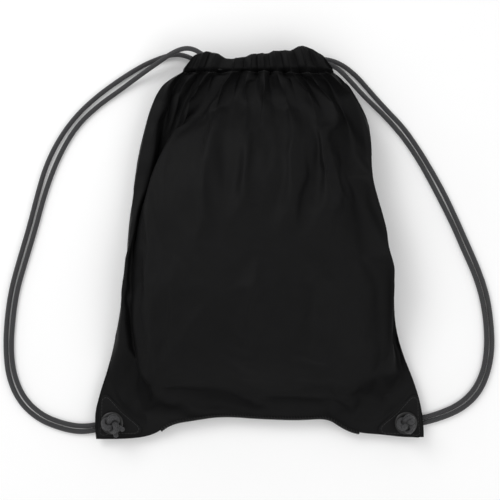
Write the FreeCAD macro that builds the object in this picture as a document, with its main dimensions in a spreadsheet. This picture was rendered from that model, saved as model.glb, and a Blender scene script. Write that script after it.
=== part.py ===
"""Drawstring backpack lying on its back, mouth towards +Y, lightly filled.

The bag rests on the floor plane z = 0 with its front facing +Z. Two fabric panels are sewn together
along the sides and the bottom. Each has a hem channel at the mouth. Two drawcords run through both
channels, and the ends of each pass through an eyelet in a bottom corner and are knotted there.
The front panel and its channel lift about the bottom seam when the mouth is opened.
"""
import FreeCAD, Part
import math
import os
import Sketcher

Vector = FreeCAD.Vector

# alias: (millimetres, what it is)
SIZES = {
    "bag_half_width": (174, "centre line to a bottom corner"),
    "bag_half_length": (206, "middle of the bag to its bottom corners and to its hem"),
    "fabric": (2.0, "wall of the panels, a stand-in for thin woven cloth"),
    "rim_gap": (0.6, "front panel above the back panel along the side seams"),
    "seam_radius": (2.0, "rolled seam allowance along the bottom"),
    "seam_half_length": (106, "half of the rolled seam, between the corner patches"),
    "seam_back": (184, "bottom seam below the middle of the bag"),
    "seam_height": (14, "bottom seam above the floor"),
    "channel_left": (60, "left end of the hem channels from the centre line"),
    "channel_length": (116, "gathered length of a hem channel"),
    "channel_width": (25.8, "hem channel along the bag"),
    "channel_thick": (17, "hem channel through its gathers"),
    "channel_round": (7, "rounding of a channel's long edges"),
    "tunnel_width": (16.4, "space for two cords side by side"),
    "tunnel_thick": (9, "height of that space"),
    "tunnel_round": (3, "rounding of that space's long edges"),
    "back_channel_height": (9.5, "middle of the back channel above the floor"),
    "front_channel_height": (34.5, "middle of the front channel above the floor"),
    "cord_diameter": (5, "drawcord"),
    "eyelet_back": (189, "eyelets below the middle of the bag"),
    "eyelet_left": (157, "left eyelet from the centre line"),
    "eyelet_right": (155, "right eyelet from the centre line"),
    "eyelet_bore": (12, "clear hole of an eyelet"),
    "eyelet_wall": (0.6, "barrel wall"),
    "eyelet_flange": (24, "outer diameter of an eyelet's flange"),
    "flange_thick": (1.6, "rounded flange over the front patch"),
    "lip_diameter": (15.6, "barrel end rolled over the washer"),
    "lip_thick": (0.8, "thickness of that roll"),
    "lip_height": (7, "underside of the roll above the floor, where the cords pass"),
    "washer_thick": (1.0, "washer behind the corner"),
    "patch_thick": (1.0, "corner reinforcement patch"),
    "flap_thick": (1.6, "panel fabric at the corner"),
    "layer_gap": (0.1, "between the layers that an eyelet clamps"),
    "patch_round": (5, "rounded corners of a patch"),
    "knot_diameter": (20, "overhand knot of both cord ends, from the front"),
    "knot_height": (17, "knot off the eyelet"),
    "tail_length": (15, "loose ends out of a knot, from its middle"),
}

# The back panel along the bag: distance from the middle, left edge, right edge, seam height, floor
# height. A floor below zero is cut off flat where the bag rests. Its lower corners are cut back, and
# flaps fill them.
BACK_STATIONS = [
    (-181.5, -112, 112, 12, 9.2),
    (-168, -138, 136, 13, 3),
    (-150, -160, 157, 15, -0.6),
    (-120, -158, 153, 19, -0.6),
    (-60, -147, 143, 23, -0.6),
    (0, -141, 134, 25, -0.6),
    (60, -133, 123, 25, -0.6),
    (110, -125, 117, 24, -0.6),
    (140, -116, 107, 23, -0.6),
    (160, -106, 95, 22, 1),
    (180, -84, 78, 21, 7),
]
# The front panel in the same way, with the height of its crown. Its lower corners are cut back
# beside the corner patches.
FRONT_STATIONS = [
    (-181, -110, 110, 15, 19.5),
    (-168, -138, 136, 15, 36),
    (-150, -160, 157, 16, 52),
    (-120, -158, 153, 19, 70),
    (-60, -147, 143, 23, 85),
    (0, -141, 134, 25, 88),
    (60, -133, 123, 25, 84),
    (110, -125, 117, 24, 73),
    (140, -116, 107, 23, 61),
    (160, -106, 95, 22, 50),
    (180, -84, 78, 21, 36),
]
SECTION_SIDES = 12  # flats around one panel's cross-section
BACK_SQUARENESS = 3.2  # exponent of the cross-section's curve: 2 is an ellipse, more is boxier
FRONT_SQUARENESS = 2.3

# Corner outlines as distances in from the bag's tip: across towards the middle, and up its side.
FLAP_OUTLINE = [(0, 0), (32, 0), (70, 7), (89, 21), (65, 28), (39, 41), (17, 59), (8, 60)]
PATCH_OUTLINE = [(1, 1), (55, 6), (6, 53)]

FLOOR_RUN = 2.5  # height of a cord's centre line where it lies on the floor
KNOT_BASE = 14.6  # the underside of a knot, on its eyelet

# The left cord: out of the left eyelet, up the outside, through the back channel, round the right
# end of the mouth, back through the front channel and down the inside to the same eyelet.
LEFT_ROUTE = [
    (-158, -191.8, KNOT_BASE),
    (-158, -191.8, FLOOR_RUN),
    (-172, -197, FLOOR_RUN),
    (-192, -201, FLOOR_RUN),
    (-214, -196, FLOOR_RUN),
    (-235, -184, FLOOR_RUN),
    (-252, -165, FLOOR_RUN),
    (-264, -140, FLOOR_RUN),
    (-270, -110, FLOOR_RUN),
    (-270, -78, FLOOR_RUN),
    (-265, -45, FLOOR_RUN),
    (-256, -12, FLOOR_RUN),
    (-247, 20, FLOOR_RUN),
    (-237, 51, FLOOR_RUN),
    (-226, 82, FLOOR_RUN),
    (-212, 110, FLOOR_RUN),
    (-194, 135, FLOOR_RUN),
    (-172, 156, FLOOR_RUN),
    (-147, 174, FLOOR_RUN),
    (-124, 188.5, FLOOR_RUN),
    (-105, 197, 3.5),
    (-90, 200.5, 5.5),
    (-76, 195.5, 8),
    (-64, 190.4, 9.5),
    (-47, 189.8, 9.7),
    (-24, 190.4, 9.2),
    (2, 189.5, 9.7),
    (26, 190.4, 9.3),
    (44, 189.9, 9.6),
    (59, 190, 9.5),
    (66.6, 192.3, 16.8),
    (66.6, 195.7, 27.2),
    (59, 198, 34.5),
    (44, 198.3, 34.3),
    (25, 197.5, 34.8),
    (1, 198.4, 34.2),
    (-25, 197.6, 34.7),
    (-47, 198.3, 34.3),
    (-62, 198.2, 34.5),
    (-69, 202.5, 34),
    (-80, 206.5, 31),
    (-93, 203.5, 24.5),
    (-109, 193.5, 16),
    (-127, 180, 8.5),
    (-148, 163.5, 3.5),
    (-170, 148, FLOOR_RUN),
    (-190, 128, FLOOR_RUN),
    (-204, 104, FLOOR_RUN),
    (-216, 77, FLOOR_RUN),
    (-226, 48, FLOOR_RUN),
    (-236, 16, FLOOR_RUN),
    (-246, -17, FLOOR_RUN),
    (-255, -49, FLOOR_RUN),
    (-260, -80, FLOOR_RUN),
    (-261, -110, FLOOR_RUN),
    (-256, -136, FLOOR_RUN),
    (-245, -158, FLOOR_RUN),
    (-228, -174, FLOOR_RUN),
    (-208, -184, FLOOR_RUN),
    (-190, -190, FLOOR_RUN),
    (-173, -191.5, FLOOR_RUN),
    (-158, -186.2, FLOOR_RUN),
    (-158, -186.2, KNOT_BASE),
]
# The right cord in the same way, round the left end of the mouth.
RIGHT_ROUTE = [
    (156, -191.8, KNOT_BASE),
    (156, -191.8, FLOOR_RUN),
    (173, -190, FLOOR_RUN),
    (195, -183, FLOOR_RUN),
    (215, -173, FLOOR_RUN),
    (232, -158, FLOOR_RUN),
    (243, -137, FLOOR_RUN),
    (248, -112, FLOOR_RUN),
    (247, -84, FLOOR_RUN),
    (241, -54, FLOOR_RUN),
    (231, -26, FLOOR_RUN),
    (220, 1, FLOOR_RUN),
    (208, 27, FLOOR_RUN),
    (195, 53, FLOOR_RUN),
    (182, 78, FLOOR_RUN),
    (168, 102, FLOOR_RUN),
    (151, 124, FLOOR_RUN),
    (132, 145, FLOOR_RUN),
    (116, 165, 3),
    (101, 183, 5),
    (84, 195, 7.5),
    (64, 198.5, 9.3),
    (44, 197.6, 9.6),
    (20, 198.4, 9.2),
    (-6, 197.6, 9.7),
    (-30, 198.3, 9.3),
    (-48, 197.8, 9.6),
    (-63, 198, 9.5),
    (-70.6, 195.7, 16.8),
    (-70.6, 192.3, 27.2),
    (-63, 190, 34.5),
    (-48, 189.7, 34.7),
    (-30, 190.4, 34.2),
    (-6, 189.6, 34.8),
    (20, 190.4, 34.3),
    (44, 189.7, 34.6),
    (60, 190.3, 34.3),
    (73, 191, 33),
    (84, 185, 28.5),
    (96, 173.5, 21.5),
    (109, 160, 14),
    (123, 145.5, 7.5),
    (137.5, 129.5, 3.5),
    (152, 110, FLOOR_RUN),
    (165, 87, FLOOR_RUN),
    (177, 63, FLOOR_RUN),
    (189, 38, FLOOR_RUN),
    (200, 14, FLOOR_RUN),
    (212, -9, FLOOR_RUN),
    (223, -32, FLOOR_RUN),
    (231, -56, FLOOR_RUN),
    (237, -82, FLOOR_RUN),
    (238, -108, FLOOR_RUN),
    (233, -132, FLOOR_RUN),
    (222, -151, FLOOR_RUN),
    (207, -165, FLOOR_RUN),
    (190, -176, FLOOR_RUN),
    (173, -183.5, FLOOR_RUN),
    (156, -186.2, FLOOR_RUN),
    (156, -186.2, KNOT_BASE),
]
ROUTES = {"left_cord": LEFT_ROUTE, "right_cord": RIGHT_ROUTE}
ARC_SHARE = 0.45  # of the shorter run that an arc takes up on each side of its corner

doc = FreeCAD.newDocument("drawstring_backpack")
nodes = []


def make_sheet():
    """The driving dimensions, one row each: name, value, meaning."""
    sheet = doc.addObject("Spreadsheet::Sheet", "sizes")
    for row, (alias, (value, meaning)) in enumerate(SIZES.items(), start=1):
        sheet.set(f"A{row}", alias)
        sheet.set(f"B{row}", str(value))
        sheet.set(f"C{row}", meaning)
        sheet.setAlias(f"B{row}", alias)
    doc.recompute()
    return sheet


sheet = make_sheet()


def size(alias):
    return float(getattr(sheet, alias))


def keep(obj, label):
    """Name a finished sub-part: its label is its node and its file."""
    obj.Label = label
    nodes.append(obj)
    return obj


def bind(obj, **expressions):
    """Tie properties to sheet cells. Double underscores stand for dots in a property's path."""
    for name, expression in expressions.items():
        obj.setExpression(name.replace("__", "."), expression)


def place(obj, x="0", y="0", z="0"):
    bind(obj, Placement__Base__x=x, Placement__Base__y=y, Placement__Base__z=z)


def body_sketch(body, name, role):
    """A sketch on one of the body's own origin planes."""
    sketch = body.newObject("Sketcher::SketchObject", name)
    plane = next(f for f in body.Origin.OriginFeatures if f.Role == role)
    sketch.AttachmentSupport = [(plane, "")]
    sketch.MapMode = "FlatFace"
    return sketch


# ---- panels ----


def section(station, squareness, side, lip_gap):
    """One closed cross-section of a panel: a curved strip from its left edge to its right edge.

    side is 1 where the panel crowns upwards and -1 where it sinks towards the floor.
    """
    along, left, right, rim, reach = station
    wall = size("fabric")
    middle, half = (left + right) / 2, (right - left) / 2
    rise = abs(reach - rim)
    base = rim + lip_gap

    def edge(shrink):
        points = []
        for step in range(SECTION_SIDES + 1):
            angle = math.pi * step / SECTION_SIDES
            across = abs(math.cos(angle)) ** (2 / squareness)
            up = abs(math.sin(angle)) ** (2 / squareness)
            x = middle - math.copysign((half - shrink) * across, math.cos(angle))
            points.append(Vector(x, along, base + side * (rise - shrink) * up))
        return points

    return Part.makePolygon(edge(0) + edge(wall)[::-1] + edge(0)[:1])


def make_panel_shell(name, stations, squareness, side, lip_gap):
    shell = doc.addObject("Part::Feature", name)
    wires = [section(station, squareness, side, lip_gap) for station in stations]
    shell.Shape = Part.makeLoft(wires, True, True)
    return shell


def corner_stack():
    """The height of each layer that an eyelet clamps, as an expression, from the cords up."""
    heights, top = {}, "sizes.lip_height + sizes.lip_thick"
    layers = [
        ("washer", "sizes.washer_thick"),
        ("back_patch", "sizes.patch_thick"),
        ("flap", "sizes.flap_thick"),
        ("front_patch", "sizes.patch_thick"),
        ("flange", "sizes.flange_thick"),
    ]
    for layer, thick in layers:
        heights[layer] = f"{top} + sizes.layer_gap"
        top = f"{heights[layer]} + {thick}"
    return heights


STACK = corner_stack()


def corner_points(side, offsets):
    """Corner outline around its eyelet, as sheet expressions: offsets run inwards from the tip."""
    name = "left" if side < 0 else "right"
    tip_across = f"sizes.bag_half_width - sizes.eyelet_{name}"
    tip_along = "sizes.eyelet_back - sizes.bag_half_length"
    return [(f"{side} * ({tip_across} - {x})", f"{tip_along} + {y}") for x, y in offsets]


def value_of(expression):
    """The number that a sheet expression has now, in millimetres."""
    result = sheet.evalExpression(expression)
    return float(getattr(result, "Value", result))


def hold(sketch, kind, expression, *where):
    """Add a dimension to a sketch and tie it to a sheet expression."""
    index = sketch.addConstraint(Sketcher.Constraint(kind, *where, value_of(expression)))
    sketch.setExpression(f"Constraints[{index}]", expression)


def draw_polygon(sketch, corners):
    """A closed polygon with each corner held at its own expressions from the sketch's origin."""
    start, count = sketch.GeometryCount, len(corners)
    places = [Vector(value_of(x), value_of(y), 0) for x, y in corners]
    for k in range(count):
        sketch.addGeometry(Part.LineSegment(places[k], places[(k + 1) % count]), False)
    for k in range(count):
        following = start + (k + 1) % count
        sketch.addConstraint(Sketcher.Constraint("Coincident", start + k, 2, following, 1))
    for k, (across, along) in enumerate(corners):
        hold(sketch, "DistanceX", across, -1, 1, start + k, 1)
        hold(sketch, "DistanceY", along, -1, 1, start + k, 1)


def draw_circle(sketch, diameter):
    """A circle about the sketch's origin."""
    index = sketch.GeometryCount
    centre = Part.Circle(Vector(0, 0, 0), Vector(0, 0, 1), value_of(diameter) / 2)
    sketch.addGeometry(centre, False)
    sketch.addConstraint(Sketcher.Constraint("Coincident", index, 3, -1, 1))
    hold(sketch, "Diameter", diameter, index)


def pad(body, sketch, length):
    feature = body.newObject("PartDesign::Pad", body.Name + "_pad")
    feature.Profile = sketch
    bind(feature, Length=length)
    body.Tip = feature
    doc.recompute()
    return feature


def round_edges(body, base, direction, radius, chosen):
    """Fillet the straight edges of base that run along direction and whose middle passes chosen."""
    names = []
    for number, edge in enumerate(base.Shape.Edges, start=1):
        straight = isinstance(edge.Curve, Part.Line)
        middle = body.Placement.inverse().multVec(edge.CenterOfMass)
        if straight and abs(edge.Curve.Direction.dot(direction)) > 0.999 and chosen(middle):
            names.append(f"Edge{number}")
    feature = body.newObject("PartDesign::Fillet", base.Name + "_round")
    feature.Base = (base, names)
    bind(feature, Radius=radius)
    body.Tip = feature
    doc.recompute()
    return feature


def corner_body(label, side, layer, thick, offsets, radius):
    """A flat piece of a bottom corner with the eyelet's hole through it."""
    body = doc.addObject("PartDesign::Body", label)
    sketch = body_sketch(body, label + "_outline", "XY_Plane")
    draw_polygon(sketch, corner_points(side, offsets))
    hole = "sizes.eyelet_bore + 2 * sizes.eyelet_wall + 2 * sizes.layer_gap"
    draw_circle(sketch, hole)
    blank = pad(body, sketch, thick)
    hole_edge = value_of(hole)
    round_edges(body, blank, Vector(0, 0, 1), radius, lambda middle: middle.Length > hole_edge)
    name = "left" if side < 0 else "right"
    place(body, f"{side} * sizes.eyelet_{name}", "-sizes.eyelet_back", STACK[layer])
    return body


def make_back_panel(sides):
    """The tray that lies on the floor, with a flat flap at each bottom corner."""
    tray = make_panel_shell("tray", BACK_STATIONS, BACK_SQUARENESS, -1, 0)
    floor = doc.addObject("Part::Box", "floor_cut")
    bind(
        floor,
        Length="4 * sizes.bag_half_width",
        Width="4 * sizes.bag_half_length",
        Height="10 * sizes.fabric",
    )
    place(floor, "-2 * sizes.bag_half_width", "-2 * sizes.bag_half_length", "-10 * sizes.fabric")
    flat_tray = doc.addObject("Part::Cut", "flat_tray")
    flat_tray.Base = tray
    flat_tray.Tool = floor
    thick = "sizes.flap_thick"
    flaps = [
        corner_body(f"{name}_flap", side, "flap", thick, FLAP_OUTLINE, thick)
        for name, side in sides
    ]
    panel = doc.addObject("Part::MultiFuse", "back_panel_fuse")
    panel.Shapes = [flat_tray] + flaps
    keep(panel, "back_panel")


def make_front_panel():
    gap = size("rim_gap")
    shell = make_panel_shell("front_shell", FRONT_STATIONS, FRONT_SQUARENESS, 1, gap)
    keep(shell, "front_panel")


# ---- hem channels and bottom seam ----


def rectangle(width, height):
    """Corners of a rectangle about the origin, as expressions."""
    signs = [(-1, -1), (1, -1), (1, 1), (-1, 1)]
    return [(f"{a} * {width} / 2", f"{b} * {height} / 2") for a, b in signs]


def make_channel(label, height):
    """A hem folded into a tunnel for two cords, gathered along its length."""
    body = doc.addObject("PartDesign::Body", label + "_body")
    sketch = body_sketch(body, label + "_profile", "YZ_Plane")
    draw_polygon(sketch, rectangle("sizes.channel_width", "sizes.channel_thick"))
    draw_polygon(sketch, rectangle("sizes.tunnel_width", "sizes.tunnel_thick"))
    blank = pad(body, sketch, "sizes.channel_length")
    along = Vector(1, 0, 0)
    wall_middle = (size("tunnel_width") + size("channel_width")) / 4
    outside = round_edges(
        body, blank, along, "sizes.channel_round", lambda middle: abs(middle.y) > wall_middle
    )
    round_edges(
        body, outside, along, "sizes.tunnel_round", lambda middle: abs(middle.y) < wall_middle
    )
    place(body, "-sizes.channel_left", "sizes.bag_half_length - sizes.channel_width / 2", height)
    keep(body, label)


def make_bottom_seam():
    """The allowances of both panels rolled and overlocked; the front panel lifts about it."""
    roll = doc.addObject("Part::Cylinder", "seam_roll")
    bind(roll, Radius="sizes.seam_radius", Height="2 * sizes.seam_half_length")
    roll.Placement.Rotation = FreeCAD.Rotation(Vector(0, 1, 0), 90)
    place(roll, "-sizes.seam_half_length", "-sizes.seam_back", "sizes.seam_height")
    keep(roll, "bottom_seam")


# ---- corner fittings ----

def make_patches(name, side):
    thick, radius = "sizes.patch_thick", "sizes.patch_round"
    for layer in ("front_patch", "back_patch"):
        body = corner_body(f"{name}_{layer}_body", side, layer, thick, PATCH_OUTLINE, radius)
        keep(body, f"{name}_corner_{layer}")


def make_eyelet(name, side):
    """Barrel with a rounded flange on the front and its end rolled over the washer behind."""
    body = doc.addObject("PartDesign::Body", f"{name}_eyelet_body")
    sketch = body_sketch(body, f"{name}_eyelet_profile", "XZ_Plane")
    bore = "sizes.eyelet_bore / 2"
    wall = f"{bore} + sizes.eyelet_wall"
    lip, lip_top = "sizes.lip_diameter / 2", "sizes.lip_thick"
    under = f"{STACK['flange']} - sizes.lip_height"
    top = f"{under} + sizes.flange_thick"
    rim, ease = "sizes.eyelet_flange / 2", "sizes.flange_thick / 2"
    draw_polygon(
        sketch,
        [
            (bore, "0"),
            (lip, "0"),
            (lip, lip_top),
            (wall, lip_top),
            (wall, under),
            (rim, under),
            (rim, f"{top} - {ease}"),
            (f"{rim} - {ease}", top),
            (f"{bore} + {ease}", top),
            (bore, f"{top} - {ease}"),
        ],
    )
    turned = body.newObject("PartDesign::Revolution", f"{name}_eyelet_turned")
    turned.Profile = sketch
    turned.ReferenceAxis = (sketch, ["V_Axis"])
    turned.Angle = 360
    body.Tip = turned
    place(body, f"{side} * sizes.eyelet_{name}", "-sizes.eyelet_back", "sizes.lip_height")
    keep(body, f"{name}_eyelet")


def make_washer(name, side):
    body = doc.addObject("PartDesign::Body", f"{name}_washer_body")
    sketch = body_sketch(body, f"{name}_washer_profile", "XY_Plane")
    draw_circle(sketch, "sizes.eyelet_flange - 2 * sizes.eyelet_wall")
    draw_circle(sketch, "sizes.eyelet_bore + 2 * sizes.eyelet_wall + 2 * sizes.layer_gap")
    pad(body, sketch, "sizes.washer_thick")
    place(body, f"{side} * sizes.eyelet_{name}", "-sizes.eyelet_back", STACK["washer"])
    keep(body, f"{name}_eyelet_washer")


# ---- knots and cords ----

# Direction of each knot's two loose ends: (turn about Z from +X, tilt up from the floor), degrees.
TAILS = {"left": [(-27, 3), (-69, 3)], "right": [(35, 66), (205, 72)]}


def make_knot(name, side):
    """Both ends of a cord tied together: a flattened ball on the eyelet, with two loose ends."""
    x, y = f"{side} * sizes.eyelet_{name}", "-sizes.eyelet_back"
    middle = f"{KNOT_BASE} + 0.4 * sizes.knot_height"
    ball = doc.addObject("Part::Ellipsoid", f"{name}_knot_ball")
    radius = "sizes.knot_diameter / 2"
    bind(ball, Radius1="0.6 * sizes.knot_height", Radius2=radius, Radius3=radius)
    place(ball, x, y, middle)
    under = doc.addObject("Part::Cylinder", f"{name}_knot_under")
    bind(under, Radius="sizes.knot_diameter", Height="sizes.knot_height")
    place(under, x, y, f"{KNOT_BASE} - sizes.knot_height")
    seated = doc.addObject("Part::Cut", f"{name}_knot_seated")
    seated.Base = ball
    seated.Tool = under
    tails = []
    for number, (turn, tilt) in enumerate(TAILS[name]):
        tail = doc.addObject("Part::Cylinder", f"{name}_tail_{number}")
        bind(tail, Radius="sizes.cord_diameter / 2", Height="sizes.tail_length")
        lean = FreeCAD.Rotation(Vector(0, 1, 0), 90 - tilt)
        tail.Placement.Rotation = FreeCAD.Rotation(Vector(0, 0, 1), turn).multiply(lean)
        place(tail, x, y, middle)
        tails.append(tail)
    knot = doc.addObject("Part::MultiFuse", f"{name}_knot_fuse")
    knot.Shapes = [seated] + tails
    keep(knot, f"{name}_knot")


def cord_path(route):
    """Straight runs joined by tangent arcs, each arc as large as its two runs allow."""
    points = [Vector(*point) for point in route]
    edges, radii, here = [], [], points[0]
    for before, corner, after in zip(points, points[1:], points[2:]):
        arriving, leaving = corner - before, after - corner
        reach = ARC_SHARE * min(arriving.Length, leaving.Length)
        turn = arriving.getAngle(leaving)
        radii.append(reach / math.tan(turn / 2))
        start = corner - arriving.normalize() * reach
        end = corner + leaving.normalize() * reach
        outwards = (arriving - leaving).normalize()
        bulge = reach * math.tan(turn / 4) * math.cos(turn / 2)
        edges.append(Part.LineSegment(here, start).toShape())
        edges.append(Part.Arc(start, (start + end) / 2 + outwards * bulge, end).toShape())
        here = end
    edges.append(Part.LineSegment(here, points[-1]).toShape())
    return Part.Wire(edges), radii


def make_cord(label, route):
    wire, radii = cord_path(route)
    path = doc.addObject("Part::Feature", label + "_path")
    path.Shape = wire
    ring = doc.addObject("Part::Circle", label + "_section")
    bind(ring, Radius="sizes.cord_diameter / 2")
    along = Vector(*route[1]) - Vector(*route[0])
    ring.Placement.Rotation = FreeCAD.Rotation(Vector(0, 0, 1), along)
    ring.Placement.Base = Vector(*route[0])
    tube = doc.addObject("Part::Sweep", label + "_tube")
    tube.Sections = [ring]
    tube.Spine = (path, [f"Edge{number + 1}" for number in range(len(wire.Edges))])
    tube.Solid = True
    tube.Frenet = False
    tube.Transition = "Transformed"
    doc.recompute()
    expected = math.pi * (size("cord_diameter") / 2) ** 2 * wire.Length
    share = tube.Shape.Volume / expected
    print(f"{label}: length {wire.Length:.0f} mm, volume/expected {share:.4f}")
    print(f"  tightest radii {[round(radius, 1) for radius in sorted(radii)[:6]]} mm")
    keep(tube, label)


def check_document():
    """Stop on any object that failed or any sub-part that isn't a sound solid."""
    for obj in doc.Objects:
        if {"Invalid", "Error"} & set(obj.State):
            raise RuntimeError(f"{obj.Name} failed: {obj.State}")
    for node in nodes:
        if node.Shape.isNull() or not node.Shape.isValid() or not node.Shape.Solids:
            raise RuntimeError(f"{node.Label} has no valid solid")


SIDES = [("left", -1), ("right", 1)]

make_back_panel(SIDES)
make_front_panel()
make_channel("back_channel", "sizes.back_channel_height")
make_channel("front_channel", "sizes.front_channel_height")
make_bottom_seam()
for name, side in SIDES:
    make_patches(name, side)
    make_eyelet(name, side)
    make_washer(name, side)
    make_knot(name, side)
for label, route in ROUTES.items():
    make_cord(label, route)

doc.recompute()
check_document()
os.makedirs("parts", exist_ok=True)
for node in nodes:
    node.Shape.exportStep(f"parts/{node.Label}.step")
    box = node.Shape.BoundBox
    print(
        f"{node.Label}: {len(node.Shape.Solids)} solid, {node.Shape.Volume / 1000:.2f} cm3, "
        f"x {box.XMin:.1f}..{box.XMax:.1f} y {box.YMin:.1f}..{box.YMax:.1f} "
        f"z {box.ZMin:.1f}..{box.ZMax:.1f}"
    )
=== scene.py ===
import math

import bpy
import numpy as np
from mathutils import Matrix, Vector


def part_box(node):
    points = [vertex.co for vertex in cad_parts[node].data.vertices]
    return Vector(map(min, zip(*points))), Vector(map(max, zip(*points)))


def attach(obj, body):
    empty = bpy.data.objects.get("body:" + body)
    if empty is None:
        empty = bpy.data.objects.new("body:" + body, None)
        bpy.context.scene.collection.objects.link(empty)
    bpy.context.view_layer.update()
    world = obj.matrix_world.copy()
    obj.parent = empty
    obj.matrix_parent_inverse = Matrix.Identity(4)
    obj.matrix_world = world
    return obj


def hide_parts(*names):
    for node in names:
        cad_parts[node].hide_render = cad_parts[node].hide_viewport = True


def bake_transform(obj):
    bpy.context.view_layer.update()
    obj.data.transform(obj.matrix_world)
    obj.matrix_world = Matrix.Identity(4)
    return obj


# A drawstring backpack lying on its back on a pale floor, seen from straight above.
# The frame is that of the CAD parts: metres, +Y towards the mouth and +Z up off the floor.
# The cords follow the routes of the CAD cords. Each cloth panel starts gathered between its seams
# and settles, by cloth simulation, over a soft pillow that stands for what the bag holds.

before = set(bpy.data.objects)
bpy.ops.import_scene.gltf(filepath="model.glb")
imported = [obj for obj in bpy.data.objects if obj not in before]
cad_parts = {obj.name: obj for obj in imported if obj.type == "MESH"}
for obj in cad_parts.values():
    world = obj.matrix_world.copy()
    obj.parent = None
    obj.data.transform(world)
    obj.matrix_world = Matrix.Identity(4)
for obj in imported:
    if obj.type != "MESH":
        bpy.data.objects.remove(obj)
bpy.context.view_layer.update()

# ---- driving sizes ----

MM = 0.001
FLAT_WIDTH = 0.350  # one panel between its side seams, before it was gathered
FLAT_HEIGHT = 0.405  # from the bottom seam to the hem stitching
HEM_DEPTH = 0.025  # from the hem stitching to the fold at the mouth
CORD = 0.005  # cord diameter
RAMP_START = (0, 0, 0.0185)  # cloth and cords below this stay with the back
RAMP_END = (0, 0, 0.026)  # above this they go with the front

# ---- camera, light and floor ----

VIEW_CENTRE = (-0.0106, -0.0053, 0.015)
VIEW_WIDTH = 0.53
LENS = 135
SENSOR = 36


def add_object(name, data):
    piece = bpy.data.objects.new(name, data)
    bpy.context.scene.collection.objects.link(piece)
    return piece


def make_camera():
    data = bpy.data.cameras.new("camera")
    data.lens = LENS
    data.sensor_width = SENSOR
    camera = add_object("camera", data)
    height = VIEW_WIDTH * LENS / SENSOR
    camera.location = Vector(VIEW_CENTRE) + Vector((0, 0, height))
    bpy.context.scene.camera = camera


def make_area_light(name, place, side, power):
    data = bpy.data.lights.new(name, "AREA")
    data.shape = "SQUARE"
    data.size = side
    data.energy = power
    light = add_object(name, data)
    light.location = place
    aim = Vector(VIEW_CENTRE) - Vector(place)
    light.rotation_euler = aim.to_track_quat("-Z", "Y").to_euler()


def make_studio():
    """A pale floor under soft light from all round, a little stronger from the upper left."""
    scene = bpy.context.scene
    scene.view_settings.view_transform = "Standard"
    world = bpy.data.worlds.new("studio")
    scene.world = world
    world.use_nodes = True
    background = world.node_tree.nodes["Background"]
    background.inputs["Color"].default_value = (1, 1, 1, 1)
    background.inputs["Strength"].default_value = 0.78
    make_area_light("key", (-0.9, 0.9, 1.3), 0.9, 11)
    make_area_light("fill", (1.1, -0.6, 1.5), 1.2, 5)
    floor_data = bpy.data.meshes.new("floor")
    reach = 4
    corners = [(-reach, -reach, 0), (reach, -reach, 0), (reach, reach, 0), (-reach, reach, 0)]
    floor_data.from_pydata(corners, [], [(0, 1, 2, 3)])
    floor = add_object("floor", floor_data)
    floor.data.materials.append(make_floor_material())


# ---- materials ----


def new_material(name, colour, roughness):
    material = bpy.data.materials.new(name)
    material.use_nodes = True
    shader = material.node_tree.nodes["Principled BSDF"]
    shader.inputs["Base Color"].default_value = (*colour, 1)
    shader.inputs["Roughness"].default_value = roughness
    return material, shader


def add_node(material, kind, **settings):
    node = material.node_tree.nodes.new(kind)
    for name, value in settings.items():
        if hasattr(node, name):
            setattr(node, name, value)
        else:
            node.inputs[name].default_value = value
    return node


def link(material, output, socket):
    material.node_tree.links.new(output, socket)


def calculate(material, operation, *values):
    """A Math node over numbers and sockets; gives its output."""
    node = add_node(material, "ShaderNodeMath", operation=operation)
    for socket, value in zip(node.inputs, values):
        if isinstance(value, (int, float)):
            socket.default_value = value
        else:
            link(material, value, socket)
    return node.outputs[0]


def add_bump(material, shader, height, distance, strength=1.0):
    bump = add_node(material, "ShaderNodeBump", Strength=strength, Distance=distance)
    link(material, height, bump.inputs["Height"])
    link(material, bump.outputs["Normal"], shader.inputs["Normal"])


def colour_by(material, shader, amount, dark, pale, span=(0, 1)):
    """Base colour from dark to pale, as the amount goes through the span."""
    ramp = add_node(material, "ShaderNodeValToRGB")
    for element, place, colour in zip(ramp.color_ramp.elements, span, (dark, pale)):
        element.position = place
        element.color = (*colour, 1)
    link(material, amount, ramp.inputs["Fac"])
    link(material, ramp.outputs["Color"], shader.inputs["Base Color"])


def mottle(material, shader, coordinates, scale, dark, pale):
    """Slight uneven colour, as dyed cloth and worn paint have."""
    noise = add_node(material, "ShaderNodeTexNoise", Scale=scale, Detail=4.0)
    link(material, coordinates, noise.inputs["Vector"])
    colour_by(material, shader, noise.outputs["Fac"], dark, pale, (0.3, 0.7))


def mottled_material(name, colour, roughness, scale, dark, pale):
    """A material for pieces without UVs, with a grey mottle; gives its coordinates too."""
    material, shader = new_material(name, colour, roughness)
    place = add_node(material, "ShaderNodeTexCoord").outputs["Object"]
    mottle(material, shader, place, scale, (dark,) * 3, (pale,) * 3)
    return material, shader, place


def over_under(material, first, second):
    """Height of a plain weave: two sets of threads, each over the other in turn."""

    def rounded(value):
        turned = calculate(material, "MULTIPLY", value, math.pi)
        return calculate(material, "ABSOLUTE", calculate(material, "SINE", turned))

    cells = [calculate(material, "FLOOR", value) for value in (first, second)]
    odd = calculate(material, "PINGPONG", calculate(material, "ADD", *cells), 1)
    even = calculate(material, "SUBTRACT", 1, odd)
    over = calculate(material, "MULTIPLY", rounded(first), even)
    return calculate(material, "ADD", over, calculate(material, "MULTIPLY", rounded(second), odd))


def split_uv(material):
    uv = add_node(material, "ShaderNodeUVMap")
    parts = add_node(material, "ShaderNodeSeparateXYZ")
    link(material, uv.outputs["UV"], parts.inputs["Vector"])
    return uv.outputs["UV"], parts.outputs["X"], parts.outputs["Y"]


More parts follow.
